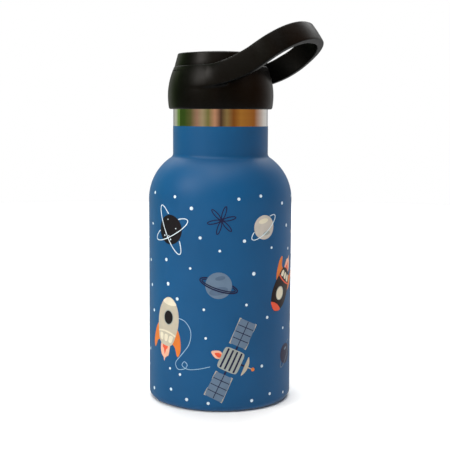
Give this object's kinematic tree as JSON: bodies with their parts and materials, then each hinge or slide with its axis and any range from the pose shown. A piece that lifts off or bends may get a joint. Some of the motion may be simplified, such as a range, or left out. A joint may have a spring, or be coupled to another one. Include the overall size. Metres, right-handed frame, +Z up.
{
  "type": "kids water bottle",
  "caption": "Small double-wall steel bottle for children, with a screw cap that has a rigid carrying loop.",
  "frame": {"origin": "centre of the base, on the surface that the bottle stands on", "axes": "+Z up the bottle's axis, +X from the axis towards the tip of the carrying loop, the loop lies evenly about the XZ plane"},
  "size_m": [0.0851, 0.07, 0.182],
  "materials": {
    "polished_steel": "polished bare stainless steel",
    "blue_powder_coat": "satin powder coat with a fine grain",
    "satin_steel": "satin stainless steel",
    "solder": "dull solder bead",
    "getter_alloy": "dull sintered pill",
    "copper_foil": "thin bright foil",
    "cap_black": "satin moulded polypropylene",
    "liner_black": "moulded polypropylene",
    "foam": "rigid insulating foam",
    "silicone": "matt translucent silicone"
  },
  "bodies": {
    "bottle": {"outer_shell": "polished_steel", "powder_coat": "blue_powder_coat", "base_cup": "satin_steel", "base_plate": "satin_steel", "vacuum_seal": "solder", "getter": "getter_alloy", "inner_vessel": "satin_steel", "inner_bottom": "satin_steel", "reflective_foil": "copper_foil"},
    "seal": {"seal_ring": "silicone"},
    "cap": {"cap_shell": "cap_black", "cap_top": "cap_black", "thread_ring": "liner_black", "plug_cup": "liner_black", "plug_foam": "foam"}
  },
  "joints": [
    {"name": "cap_lift", "type": "slide", "parent": "bottle", "child": "seal", "axis": [0, 0, 1], "range_m": [0, 0.018]},
    {"name": "cap_turn", "type": "hinge", "parent": "seal", "child": "cap", "pos_m": [0, 0, 0.15], "axis": [0, 0, 1], "range_deg": [0, 1620]}
  ],
  "couplings": [
    {"joint": "cap_lift", "follows": "cap_turn", "m_per_rad": 0.00063662}
  ]
}
